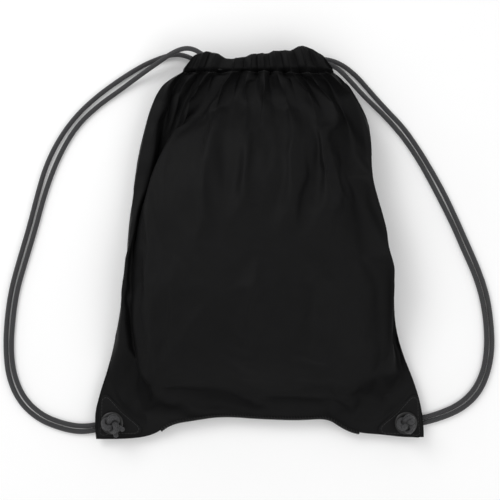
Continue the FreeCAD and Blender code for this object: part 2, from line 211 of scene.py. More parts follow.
def make_cloth_material(name, colour, thread):
    """Plain-woven cloth. The UVs are metres on the flat cut, so threads keep their real size."""
    material, shader = new_material(name, colour, 0.6)
    shader.inputs["Specular IOR Level"].default_value = 0.11
    shader.inputs["Sheen Weight"].default_value = 0.005
    shader.inputs["Sheen Roughness"].default_value = 0.5
    uv, across, along = split_uv(material)
    first = calculate(material, "MULTIPLY", across, 1 / thread)
    second = calculate(material, "MULTIPLY", along, 1 / thread)
    weave = over_under(material, first, second)
    slub = add_node(material, "ShaderNodeTexNoise", Scale=900.0, Detail=2.0)
    link(material, uv, slub.inputs["Vector"])
    height = calculate(material, "ADD", weave, slub.outputs["Fac"])
    add_bump(material, shader, height, 0.00006, 0.6)
    dark = [0.9 * value for value in colour]
    pale = [1.12 * value for value in colour]
    mottle(material, shader, uv, 60.0, dark, pale)
    return material


def make_cord_material():
    """Braided cord. The UVs are turns round the cord and strand widths along it. Its colour is
    painted shade and light: darker in the grooves between the strands, paler on their crowns.
    """
    material, shader = new_material("braided_cord", (0.042, 0.042, 0.044), 0.8)
    shader.inputs["Specular IOR Level"].default_value = 0.3
    shader.inputs["Sheen Weight"].default_value = 0.1
    _, around, along = split_uv(material)
    turned = calculate(material, "MULTIPLY", around, BRAID_STRANDS)
    first = calculate(material, "ADD", turned, along)
    second = calculate(material, "SUBTRACT", turned, along)
    braid = over_under(material, first, second)
    add_bump(material, shader, braid, 0.0005, 0.9)
    # Painted shade in the braid's grooves and painted highlight on the strands' crowns: the colour
    # goes from dark to pale with the weave's height.
    colour_by(material, shader, braid, (0.016, 0.016, 0.017), (0.058, 0.058, 0.061))
    return material


def make_metal_material():
    colour = (0.012, 0.012, 0.013)
    material, shader, place = mottled_material("black_enamel", colour, 0.32, 700.0, 0.009, 0.016)
    shader.inputs["Metallic"].default_value = 0.35
    grain = add_node(material, "ShaderNodeTexNoise", Scale=2500.0, Detail=3.0)
    link(material, place, grain.inputs["Vector"])
    add_bump(material, shader, grain.outputs["Fac"], 0.00002, 0.5)
    return material


def make_thread_material():
    return mottled_material("sewing_thread", (0.02, 0.02, 0.021), 0.6, 1500.0, 0.014, 0.028)[0]


def make_floor_material():
    material, shader, _ = mottled_material("floor_paper", (0.93,) * 3, 0.9, 5.0, 0.925, 0.94)
    shader.inputs["Specular IOR Level"].default_value = 0.1
    return material


# ---- cords ----

BRAID_STRANDS = 8  # strands each way round the cord
BRAID_STEP = 0.0023  # along the cord, from one strand to the next
RING_STEP = 0.0008
RING_SIDES = 28
BRAID_RELIEF = 0.00016

KNOT_BASE = 0.0146  # top of an eyelet, where a knot rests

# The cords' centre lines, the same way round as the CAD tubes: from the knot, along the floor to
# the mouth, through one hem channel, back through the other and home to the knot.
LEFT_ROUTE = [
    (-0.1574, -0.1916, 0.0146), (-0.1574, -0.1916, 0.0026), (-0.172, -0.197, 0.0026),
    (-0.192, -0.2, 0.0026), (-0.2135, -0.1955, 0.0026), (-0.2365, -0.186, 0.0026),
    (-0.2565, -0.168, 0.0026), (-0.2685, -0.1415, 0.0026), (-0.2715, -0.11, 0.0026),
    (-0.27, -0.078, 0.0026), (-0.265, -0.045, 0.0026), (-0.2555, -0.012, 0.0026),
    (-0.246, 0.02, 0.0026), (-0.238, 0.051, 0.0026), (-0.229, 0.083, 0.0026),
    (-0.215, 0.112, 0.0026), (-0.1965, 0.1375, 0.0026), (-0.174, 0.1585, 0.0026),
    (-0.1485, 0.177, 0.0026), (-0.125, 0.1915, 0.0028), (-0.106, 0.1995, 0.004),
    (-0.09, 0.2035, 0.006), (-0.076, 0.2005, 0.008), (-0.064, 0.193, 0.0095),
    (-0.047, 0.1875, 0.0097), (-0.024, 0.1865, 0.0092), (0.002, 0.188, 0.0097),
    (0.026, 0.1904, 0.0093), (0.044, 0.1899, 0.0096), (0.058, 0.19, 0.0095),
    (0.065, 0.1923, 0.0168), (0.065, 0.1957, 0.0272), (0.058, 0.198, 0.0345),
    (0.044, 0.1983, 0.0343), (0.025, 0.197, 0.0348), (0.001, 0.194, 0.0342),
    (-0.025, 0.1915, 0.0347), (-0.046, 0.193, 0.0343), (-0.06, 0.1995, 0.0345),
    (-0.07, 0.206, 0.034), (-0.081, 0.207, 0.031), (-0.094, 0.202, 0.0245),
    (-0.109, 0.1925, 0.016), (-0.1275, 0.1805, 0.0085), (-0.149, 0.165, 0.0035),
    (-0.172, 0.149, 0.0026), (-0.193, 0.1295, 0.0026), (-0.2085, 0.106, 0.0026),
    (-0.221, 0.079, 0.0026), (-0.231, 0.0495, 0.0026), (-0.2395, 0.017, 0.0026),
    (-0.2495, -0.016, 0.0026), (-0.259, -0.048, 0.0026), (-0.2635, -0.0795, 0.0026),
    (-0.2655, -0.1105, 0.0026), (-0.2625, -0.138, 0.0026), (-0.252, -0.163, 0.0026),
    (-0.233, -0.181, 0.0026), (-0.2105, -0.19, 0.0026), (-0.191, -0.1935, 0.0026),
    (-0.173, -0.1915, 0.0026), (-0.1574, -0.1864, 0.0026), (-0.1574, -0.1864, 0.0146),
]
RIGHT_ROUTE = [
    (0.1554, -0.1916, 0.0146), (0.1554, -0.1916, 0.0026), (0.173, -0.1905, 0.0026),
    (0.1955, -0.184, 0.0026), (0.216, -0.175, 0.0026), (0.2335, -0.159, 0.0026),
    (0.2435, -0.137, 0.0026), (0.248, -0.112, 0.0026), (0.247, -0.084, 0.0026),
    (0.2425, -0.0535, 0.0026), (0.233, -0.0255, 0.0026), (0.221, 0.0015, 0.0026),
    (0.2095, 0.0275, 0.0026), (0.197, 0.054, 0.0026), (0.1835, 0.0785, 0.0026),
    (0.169, 0.1025, 0.0026), (0.1525, 0.126, 0.0026), (0.1335, 0.1455, 0.0026),
    (0.117, 0.164, 0.003), (0.1015, 0.1815, 0.005), (0.0835, 0.1945, 0.0075),
    (0.064, 0.1985, 0.0093), (0.044, 0.1976, 0.0096), (0.02, 0.1975, 0.0092),
    (-0.006, 0.194, 0.0097), (-0.03, 0.192, 0.0093), (-0.048, 0.193, 0.0096),
    (-0.062, 0.196, 0.0095), (-0.069, 0.195, 0.0168), (-0.069, 0.1915, 0.0272),
    (-0.062, 0.1885, 0.0345), (-0.048, 0.187, 0.0347), (-0.03, 0.1855, 0.0342),
    (-0.006, 0.1875, 0.0348), (0.02, 0.1904, 0.0343), (0.044, 0.1897, 0.0346),
    (0.06, 0.1903, 0.0343), (0.073, 0.1905, 0.033), (0.084, 0.184, 0.0285),
    (0.096, 0.1725, 0.0215), (0.109, 0.159, 0.014), (0.124, 0.1455, 0.0075),
    (0.139, 0.131, 0.0035), (0.155, 0.112, 0.0026), (0.17, 0.0895, 0.0026),
    (0.183, 0.066, 0.0026), (0.196, 0.041, 0.0026), (0.2075, 0.0175, 0.0026),
    (0.2175, -0.006, 0.0026), (0.2285, -0.03, 0.0026), (0.2365, -0.0545, 0.0026),
    (0.241, -0.0815, 0.0026), (0.242, -0.1085, 0.0026), (0.2385, -0.134, 0.0026),
    (0.228, -0.1555, 0.0026), (0.2115, -0.1705, 0.0026), (0.1915, -0.179, 0.0026),
    (0.1735, -0.1845, 0.0026), (0.1554, -0.1864, 0.0026), (0.1554, -0.1864, 0.0146),
]
ROUTES = {"left": LEFT_ROUTE, "right": RIGHT_ROUTE}


def in_metres(points):
    return [tuple(value * MM for value in point) for point in points]


def smooth_line(controls, closed=False):
    """Points along a smooth curve guided by control points."""
    data = bpy.data.curves.new("line", "CURVE")
    data.dimensions = "3D"
    data.resolution_u = 16
    spline = data.splines.new("NURBS")
    spline.points.add(len(controls) - 1)
    for point, place in zip(spline.points, controls):
        point.co = (*place, 1)
    spline.order_u = 3
    spline.use_endpoint_u = not closed
    spline.use_cyclic_u = closed
    holder = add_object("line", data)
    mesh = bpy.data.meshes.new_from_object(holder)
    points = np.array([vertex.co for vertex in mesh.vertices])
    bpy.data.objects.remove(holder)
    bpy.data.meshes.remove(mesh)
    return points


def distances(points):
    """Distance of each point from the first, along the line."""
    return np.concatenate([[0], np.cumsum(np.linalg.norm(np.diff(points, axis=0), axis=1))])


def at_fractions(points, fractions):
    """Points at the given fractions of a line's length."""
    travelled = distances(points)
    wanted = np.asarray(fractions) * travelled[-1]
    return np.stack([np.interp(wanted, travelled, axis) for axis in points.T], axis=-1)


def unit(vectors):
    return vectors / np.linalg.norm(vectors, axis=-1, keepdims=True)


def frames_along(points):
    """Two directions square to the line at each point, carried along it without twisting."""
    tangents = unit(np.gradient(points, axis=0))
    start = np.array([0, 0, 1.0]) if abs(tangents[0][2]) < 0.9 else np.array([1.0, 0, 0])
    sides = []
    for tangent in tangents:
        start = start - tangent * start.dot(tangent)
        start /= np.linalg.norm(start)
        sides.append(start)
    return np.array(sides), np.cross(tangents, sides)


def spokes_round(line, angle):
    """Unit vectors at each angle round each point of a line."""
    up, side = frames_along(line)
    return np.cos(angle)[None, :, None] * up[:, None] + np.sin(angle)[None, :, None] * side[:, None]


def braid_height(around, along):
    """The same weave as the cord's material, from 0 to 1."""
    first = BRAID_STRANDS * around + along
    second = BRAID_STRANDS * around - along
    odd = (np.floor(first) + np.floor(second)) % 2 == 1
    return np.where(odd, np.abs(np.sin(np.pi * second)), np.abs(np.sin(np.pi * first)))


def make_mesh_piece(name, points, faces, material, uvs=None):
    """A piece from points and faces. uvs has one pair for each corner of each face."""
    data = bpy.data.meshes.new(name)
    data.from_pydata([tuple(point) for point in points], [], faces)
    data.materials.append(material)
    if uvs is not None:
        layer = data.uv_layers.new(name="UVMap")
        layer.data.foreach_set("uv", np.asarray(uvs, dtype=np.float32).ravel())
    data.polygons.foreach_set("use_smooth", [True] * len(data.polygons))
    data.update()
    return add_object(name, data)


def grid_faces(rows, columns, wrapped):
    """Quads of a grid of points stored row by row; wrapped joins its last column to its first."""
    span = columns if wrapped else columns - 1
    row, column = np.meshgrid(np.arange(rows - 1), np.arange(span), indexing="ij")
    following = (column + 1) % columns
    quads = [row * columns + column, row * columns + following]
    quads += [(row + 1) * columns + following, (row + 1) * columns + column]
    return np.stack(quads, axis=-1).reshape(-1, 4)


def grid_uvs(rows, columns, wrapped, across, along):
    """UVs for the quads of grid_faces: across is one value per column, along one per row."""
    span = columns if wrapped else columns - 1
    row, column = np.meshgrid(np.arange(rows - 1), np.arange(span), indexing="ij")
    corners = [(row, column), (row, column + 1), (row + 1, column + 1), (row + 1, column)]
    pairs = [np.stack([across[c], along[r]], axis=-1) for r, c in corners]
    return np.stack(pairs, axis=2).reshape(-1, 2)


def braided_tube(points, taper=None):
    """Rings of a braided tube along a line, its faces and its UVs. taper scales each ring."""
    length = distances(points)[-1]
    rings = max(8, int(length / RING_STEP))
    line = at_fractions(points, np.linspace(0, 1, rings))
    around = np.arange(RING_SIDES + 1) / RING_SIDES
    along = np.linspace(0, length / BRAID_STEP, rings)
    relief = braid_height(around[None, :-1], along[:, None]) * BRAID_RELIEF
    radius = CORD / 2 - BRAID_RELIEF / 2 + relief
    if taper is not None:
        radius = radius * taper(np.linspace(0, 1, rings))[:, None]
    places = line[:, None] + radius[..., None] * spokes_round(line, 2 * np.pi * around[:-1])
    faces = grid_faces(rings, RING_SIDES, True)
    uvs = grid_uvs(rings, RING_SIDES, True, around, along)
    return places.reshape(-1, 3), faces, uvs


def make_cords(material):
    for side, route in ROUTES.items():
        path = smooth_line(route)
        points, faces, uvs = braided_tube(path)
        piece = make_mesh_piece(f"{side}_drawcord", points, faces.tolist(), material, uvs)
        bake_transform(piece)
        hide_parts(f"{side}_cord")


# ---- cloth ----

COLUMNS = 120  # squares across one panel, about 3 mm each
ROWS = 136
PLEATS = 10  # folds that the drawn hem makes across one panel
MIDDLE_FOLDS = 0.68  # folds half way up and near the bottom, for each pleat at the hem
LOW_FOLDS = 0.45
FOLD_GAIN = 1.25  # folds start deeper than the spare cloth needs, and settle
PLEAT_DEPTH = 0.0085  # half of a fold's depth at the hem stitching, and the most elsewhere
DEEPEST_FOLD = 0.0075
PLEAT_CLEAR = 0.001  # between a pleat at the mouth and the stretch that bends when it opens
CLOTH_LIFT = 0.0008  # middle of the back panel's cloth above the floor
CONTENTS_CENTRE = 0.47  # what the bag holds: its middle and half sizes, as shares of the cloth
CONTENTS_HALF_LENGTH = 0.385
CONTENTS_HALF_WIDTH = 0.43
CONTENTS_ROUND = 0.36  # how far its corners are drawn in
CONTENTS_CLEAR = 0.008  # how far inside the smooth panels it lies
CONTENTS_LUMPS = 0.0018  # height of the unevenness of its top
BAG_REACH = 0.14  # from the middle to a side seam, half way up
SEAM_SLACK = 0.0012  # how far the cloth stands out past a side seam freely
SEAM_HOLD = 0.75  # share of the rest that the seam takes back
SETTLE_FRAMES = 30
CREASE_ROUNDS = 3  # turns of easing for the sharpest creases
CLOTH_EASE = 1.035  # spare cloth that the weave's give and the puckered seams add

# The seams from above in millimetres: x, y and height. The sides run from a bottom corner to the
# end of the hem stitching, and the bottom from the left corner to the right one.
LEFT_SEAM = [
    (-174, -206, 11), (-176.5, -185, 11), (-171, -160, 12), (-159, -124, 16), (-150.5, -86, 20),
    (-144.5, -48, 22), (-140.5, -14, 24), (-138, 14, 25), (-134.5, 44, 25), (-130, 78, 25),
    (-124, 108, 24), (-116.5, 137, 23), (-108.5, 159, 22.5), (-97, 174, 22), (-82, 182, 22),
]
RIGHT_SEAM = [
    (174, -204, 11), (174, -183, 11), (165, -148, 13), (151, -115, 17), (143, -86, 20),
    (141.5, -60, 22), (142, -38, 23), (138.5, -20, 24), (132, -2, 25), (131.5, 14, 25),
    (125.5, 36, 25), (118, 60, 25), (114.5, 86, 25), (118, 112, 24), (111.5, 137, 23),
    (100, 157, 22.5), (90, 172, 22), (78, 182, 22),
]
BOTTOM_SEAM = [
    (-174, -206, 11), (-142, -206.5, 11), (-112, -202, 11.4), (-96, -188.5, 13), (-70, -184, 14),
    (-40, -179.5, 14), (0, -182.5, 14), (42, -184, 14), (72, -181.5, 14), (88, -193, 13),
    (104, -199.5, 11.4), (132, -201.5, 11), (155, -204.5, 11), (174, -204, 11),
]
# Height of the front along its middle, and of the back, at fractions of the way up the bag.
FRONT_CROWN = [
    (0, 14), (0.04, 31), (0.09, 46), (0.18, 64), (0.34, 79), (0.5, 82.5), (0.67, 78), (0.8, 67),
    (0.89, 56), (0.95, 45), (1, 34.5),
]
BACK_SINK = [(0, 14), (0.03, 5), (0.08, 0.8), (0.9, 0.8), (0.96, 3), (1, 9.5)]
MIDDLE_LENGTH = 0.366  # along the floor, from the bottom seam to the hem stitching
SECTION_POWERS = {"front": 2.0, "back": 3.2}  # 2 is an ellipse, more is squarer
FOLD_SEEDS = {"front": 11, "back": 23}
CORNER_FLAT = 0.066  # across plus up from a bottom corner, where the patches hold the cloth flat
CORNER_RISE = 0.060  # over which it leaves the patches
CORNER_HEIGHT = {"front": 0.0113, "back": 0.0105}


def blend_values(first, second, share):
    return first + (second - first) * share


def ease(share):
    """0 below 0, 1 above 1 and smooth between."""
    share = np.clip(share, 0, 1)
    return share * share * (3 - 2 * share)


def plan_edges():
    """The four edges of a panel, each as a line of points."""
    seams = (LEFT_SEAM, RIGHT_SEAM, BOTTOM_SEAM)
    left, right, bottom = (smooth_line(in_metres(seam)) for seam in seams)
    top = np.array([left[-1], right[-1]])
    return left, right, bottom, top


def plan_point(edges, across, up):
    """A point of the sheet stretched between the four edges."""
    left, right, bottom, top = edges
    side_left, side_right = at_fractions(left, up), at_fractions(right, up)
    low, high = at_fractions(bottom, across), at_fractions(top, across)
    across, up = across[..., None], up[..., None]
    between = blend_values(side_left, side_right, across) + blend_values(low, high, up)
    low_corners = blend_values(bottom[0], bottom[-1], across)
    high_corners = blend_values(top[0], top[-1], across)
    return between - blend_values(low_corners, high_corners, up)


def smooth_profile(stations):
    """A rounded profile through stations of (fraction, millimetres), as a function in metres."""
    line = smooth_line([(fraction, height * MM, 0) for fraction, height in stations])
    return lambda fraction: np.interp(fraction, line[:, 0], line[:, 1])


def panel_shape(edges, face, columns, rows):
    """Points of a smooth filled panel, evenly spaced along each row and up the middle."""
    power = SECTION_POWERS[face]
    angle = np.linspace(0, math.pi, 400)
    across_full = (1 - np.sign(np.cos(angle)) * np.abs(np.cos(angle)) ** (2 / power)) / 2
    rise_full = np.abs(np.sin(angle)) ** (2 / power)
    profile = smooth_profile(FRONT_CROWN if face == "front" else BACK_SINK)
    climb = np.linspace(0, 1, 400)
    length_up = distances(np.stack([climb * MIDDLE_LENGTH, profile(climb)], axis=-1))
    even_up = np.interp(np.linspace(0, 1, rows + 1), length_up / length_up[-1], climb)
    places = []
    for fraction, middle_fraction in zip(np.linspace(0, 1, rows + 1), even_up):
        up = blend_values(fraction, middle_fraction, rise_full)
        line = plan_point(edges, across_full, up)
        line[:, 2] = blend_values(line[:, 2], profile(up), rise_full)
        places.append(at_fractions(line, np.linspace(0, 1, columns + 1)))
    places = np.array(places)
    across, up = np.meshgrid(np.linspace(0, 1, columns + 1), np.linspace(0, 1, rows + 1))
    from_corner = np.minimum(across, 1 - across) * FLAT_WIDTH + up * FLAT_HEIGHT
    share = ease((from_corner - CORNER_FLAT) / CORNER_RISE)
    places[..., 2] = blend_values(CORNER_HEIGHT[face], places[..., 2], share)
    return places


def surface_normals(places):
    across = np.gradient(places, axis=1)
    up = np.gradient(places, axis=0)
    return unit(np.cross(across, up) + 1e-12)


def uneven_phase(across, seed, spread, turns):
    """Phase of a row of folds from seam to seam, uneven between them."""
    generator = np.random.default_rng(seed)
    wobble = np.zeros_like(across)
    for harmonic in range(2, 8):
        size = generator.normal() * spread / harmonic
        wobble = wobble + size * np.sin(math.pi * harmonic * across)
    return 2 * math.pi * turns * across + wobble


def add_pleats(places, face):
    """Fold the spare cloth: narrow pleats at the hem, merging into broad folds lower down.

    A fold's depth follows from its width and from how much wider the cut is than the bag there.
    """
    seed = FOLD_SEEDS[face]
    rows, columns = places.shape[:2]
    across = np.linspace(0, 1, columns)[None, :]
    up = np.linspace(0, 1, rows)[:, None]
    girth = np.linalg.norm(np.diff(places, axis=1), axis=-1).sum(axis=1)[:, None]
    spare = np.clip(FLAT_WIDTH * CLOTH_EASE / girth - 1, 0, None)
    generator = np.random.default_rng(seed + 1)
    depths = np.interp(across[0], np.linspace(0, 1, 24), 0.7 + 0.45 * generator.random(24))
    hem_phase = uneven_phase(across, seed, 2.6, PLEATS)
    middle_phase = uneven_phase(across, seed + 5, 2.2, MIDDLE_FOLDS * PLEATS) + 0.8 * np.sin(5 * up)
    low_phase = uneven_phase(across, seed + 9, 2.0, LOW_FOLDS * PLEATS) + 1.2 * np.sin(4 * up + 1)
    hem_share = ease((up - 0.70) / 0.25)
    middle_share = ease((up - 0.35) / 0.3) * (1 - hem_share)
    low_share = 1 - hem_share - middle_share
    depth = girth * np.sqrt(spare) / math.pi
    folds = hem_share / PLEATS * np.sin(hem_phase)
    folds = folds + middle_share / (MIDDLE_FOLDS * PLEATS) * np.sin(middle_phase)
    folds = folds + low_share / (LOW_FOLDS * PLEATS) * np.sin(low_phase)
    at_hem = np.clip((up - 0.9) / 0.1, 0, 1)
    size = blend_values(np.minimum(depth, DEEPEST_FOLD * PLEATS), PLEAT_DEPTH * PLEATS, at_hem)
    offset = size * folds * blend_values(FOLD_GAIN, 1, at_hem) * depths
    seam_fade = ease(np.minimum(across, 1 - across) / blend_values(0.09, 0.03, up))
    corner = np.minimum(across, 1 - across) * FLAT_WIDTH + up * FLAT_HEIGHT
    offset = offset * seam_fade * ease((corner - CORNER_FLAT) / 0.05) * ease(up / 0.1)
    straight_up = np.zeros_like(places)
    straight_up[..., 2] = 1
    outwards = surface_normals(places) * (1 if face == "front" else -1)
    direction = unit(blend_values(outwards, straight_up, at_hem[..., None]))
    folded = places + direction * offset[..., None]
    folded[..., 0] += 0.5 * offset * np.cos(hem_phase) * hem_share
    # At the mouth no pleat reaches across to the other half of the bag.
    smooth, height = places[..., 2], folded[..., 2]
    if face == "front":
        limited = np.maximum(height, np.minimum(smooth, RAMP_END[2] + PLEAT_CLEAR))
    else:
        limited = np.minimum(height, np.maximum(smooth, RAMP_START[2] - PLEAT_CLEAR))
    folded[..., 2] = np.where(at_hem > 0, limited, height)
    folded[..., 2] = np.maximum(folded[..., 2], CLOTH_LIFT)
    return folded


def make_collider(name, top, bottom):
    """A body that the cloth lies on while it settles: two sheets of points over each other."""
    rows, columns = top.shape[:2]
    sheet = grid_faces(rows, columns, False)
    faces = sheet.tolist() + (sheet[:, ::-1] + rows * columns).tolist()
    data = bpy.data.meshes.new(name)
    data.from_pydata(np.concatenate([top, bottom]).reshape(-1, 3).tolist(), [], faces)
    body = add_object(name, data)
    body.modifiers.new("solid", "COLLISION")
    body.collision.thickness_outer = 0.001
    body.collision.cloth_friction = 8
    return body


def sample_grid(grid, across, up):
    """Points of a grid at fractions across and up it."""
    rows, columns = np.array(grid.shape[:2]) - 1
    row, column = up * rows, across * columns
    low, left = np.floor(row).astype(int), np.floor(column).astype(int)
    up_share, across_share = (row - low)[..., None], (column - left)[..., None]
    below = blend_values(grid[low, left], grid[low, left + 1], across_share)
    above = blend_values(grid[low + 1, left], grid[low + 1, left + 1], across_share)
    return blend_values(below, above, up_share)


def make_contents(edges):
    """What the bag holds: a soft round-cornered pillow, clear of the seams and the corners."""
    square = np.linspace(-1, 1, 60)
    u, v = np.meshgrid(square, square)
    fullness = (((1 - u ** 4) * (1 - v ** 4)) ** 0.5)[..., None]
    across = 0.5 + CONTENTS_HALF_WIDTH * u * np.sqrt(1 - CONTENTS_ROUND * v * v)
    up = CONTENTS_CENTRE + CONTENTS_HALF_LENGTH * v * np.sqrt(1 - CONTENTS_ROUND * u * u)
    front = sample_grid(panel_shape(edges, "front", 80, 80), across, up)
    back = sample_grid(panel_shape(edges, "back", 80, 80), across, up)
    middle = (front + back) / 2
    lumps = np.sin(front[..., 0] * 75 + 2 * np.sin(front[..., 1] * 40))
    lumps = lumps + np.sin(front[..., 1] * 62 + 3 * np.sin(front[..., 0] * 33 + 1))
    front[..., 2] += CONTENTS_LUMPS * lumps - CONTENTS_CLEAR
    back[..., 2] += CONTENTS_CLEAR / 2
    inwards = 1 - CONTENTS_CLEAR / BAG_REACH
    front[..., 0] *= inwards
    back[..., 0] *= inwards
    top = blend_values(middle, front, fullness)
    bottom = blend_values(middle, back, fullness)
    return make_collider("contents", top, bottom)


CLOTH_SETTINGS = {
    "quality": 8, "mass": 0.12, "air_damping": 3,
    "tension_stiffness": 40, "compression_stiffness": 40, "shear_stiffness": 8,
    "bending_stiffness": 0.8, "tension_damping": 8, "compression_damping": 8,
    "bending_damping": 0.6, "shrink_min": 1 - CLOTH_EASE, "vertex_group_mass": "sewn",
    "pin_stiffness": 1, "use_pressure": True, "uniform_pressure_force": 0.05,
}


def settle(piece, flat, sewn, frames):
    """Let the cloth relax over the contents and the floor, and give the points it comes to."""
    piece.shape_key_add(name="Basis")
    cut = piece.shape_key_add(name="cut")
    cut.data.foreach_set("co", flat.astype(np.float32).ravel())
    group = piece.vertex_groups.new(name="sewn")
    group.add(sewn.tolist(), 1, "REPLACE")
    modifier = piece.modifiers.new("settle", "CLOTH")
    cloth = modifier.settings
    for name, value in CLOTH_SETTINGS.items():
        setattr(cloth, name, value)
    cloth.rest_shape_key = cut
    cloth.effector_weights.gravity = 0.25
    modifier.collision_settings.distance_min = 0.0012
    modifier.collision_settings.collision_quality = 3
    scene = bpy.context.scene
    for frame in range(1, frames + 1):
        scene.frame_set(frame)
    solved = piece.evaluated_get(bpy.context.evaluated_depsgraph_get()).to_mesh()
    points = np.array([vertex.co for vertex in solved.vertices])
    piece.modifiers.remove(modifier)
    piece.shape_key_clear()
    return points


def ease_creases(points, sewn, rounds):
    """Open the creases that are sharper than the cloth's thickness allows."""
    grid = points.reshape(ROWS + 1, COLUMNS + 1, 3)
    free = np.ones(len(points), dtype=bool)
    free[sewn] = False
    free = free.reshape(ROWS + 1, COLUMNS + 1, 1)[1:-1, 1:-1]
    for _ in range(rounds):
        inner = grid[1:-1, 1:-1]
        around = (grid[:-2, 1:-1] + grid[2:, 1:-1] + grid[1:-1, :-2] + grid[1:-1, 2:]) / 4
        grid[1:-1, 1:-1] = np.where(free, (inner + around) / 2, inner)
    return grid.reshape(-1, 3)


def hold_at_seams(points):
    """Keep the cloth from bellying out past the side seams, whose allowances stiffen it."""
    grid = points.reshape(ROWS + 1, COLUMNS + 1, 3)
    for column, side in ((0, -1), (-1, 1)):
        seam = np.interp(grid[..., 1], grid[:, column, 1], grid[:, column, 0])
        past = side * (grid[..., 0] - seam) - SEAM_SLACK
        grid[..., 0] -= side * SEAM_HOLD * np.clip(past, 0, None)
    return grid.reshape(-1, 3)


def sewn_points(rows, columns):
    """Numbers of the grid points on the four edges and in the two flat bottom corners."""
    row, column = np.meshgrid(np.arange(rows + 1), np.arange(columns + 1), indexing="ij")
    edge = (row == 0) | (row == rows) | (column == 0) | (column == columns)
    across = np.minimum(column, columns - column) * FLAT_WIDTH / columns
    corner = across + row * FLAT_HEIGHT / rows < CORNER_FLAT
    return np.flatnonzero((edge | corner).ravel())


def make_panel(face, edges, material):
    places = add_pleats(panel_shape(edges, face, COLUMNS, ROWS), face)
    width = np.linspace(0, FLAT_WIDTH, COLUMNS + 1)
    height = np.linspace(0, FLAT_HEIGHT, ROWS + 1)
    uvs = grid_uvs(ROWS + 1, COLUMNS + 1, False, width, height)
    faces = grid_faces(ROWS + 1, COLUMNS + 1, False)
    if face == "back":
        faces, uvs = faces[:, ::-1], uvs.reshape(-1, 4, 2)[:, ::-1].reshape(-1, 2)
    piece = make_mesh_piece(f"{face}_cloth", places.reshape(-1, 3), faces.tolist(), material, uvs)
    across, up = np.meshgrid(width - FLAT_WIDTH / 2, height)
    flat = np.stack([across, up, np.zeros_like(up)], axis=-1).reshape(-1, 3)
    sewn = sewn_points(ROWS, COLUMNS)
    points = settle(piece, flat, sewn, SETTLE_FRAMES)
    points = hold_at_seams(ease_creases(points, sewn, CREASE_ROUNDS))
    piece.data.vertices.foreach_set("co", points.astype(np.float32).ravel())
    return piece


def make_panels(material):
    edges = plan_edges()
    contents = make_contents(edges)
    reach, depth = 0.4, 0.05
    ground = np.array([[(x, y, 0) for x in (-reach, reach)] for y in (-reach, reach)])
    floor = make_collider("ground", ground, ground - (0, 0, depth))
    panels = {}
    for face in ("front", "back"):
        piece = panels[face] = make_panel(face, edges, material)
        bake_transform(piece)
        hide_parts(f"{face}_panel")
    for body in (contents, floor):
        bpy.data.objects.remove(body)
    return panels


# ---- hem channels ----

CHANNEL_COLUMNS = 360
CHANNEL_STEPS = 34  # round a channel, from the stitching over the cords and back
CORD_HEIGHTS = {"front": 0.0345, "back": 0.0095}
OUTER_CLEAR = 0.0039  # outer layer off the middle of the cords, where it is nearest
INNER_CLEAR = 0.0032
OUTER_RUFFLE = 0.0062  # how much further off it is on the pleats' ridges
INNER_RUFFLE = 0.0048
HEM_RIPPLE = 0.0012  # the pleats' height in the fold at the mouth
OUTER_ENDS = (-0.0715, 0.0665)  # where the outer layer ends, over the cords' turns
INNER_ENDS = (-0.061, 0.0555)
# The fold at the mouth, in millimetres: x and y.
HEM_TOP = [
    (-74, 195.5), (-66, 200), (-57, 203), (-46, 201.5), (-38, 196.8), (-29, 194.8), (-22, 196.5),
    (-13, 198.5), (-4, 201.5), (6, 200.5), (17, 204.5), (30, 203.5), (38, 207), (46, 210),
    (54, 205), (61, 202), (69, 197),
]


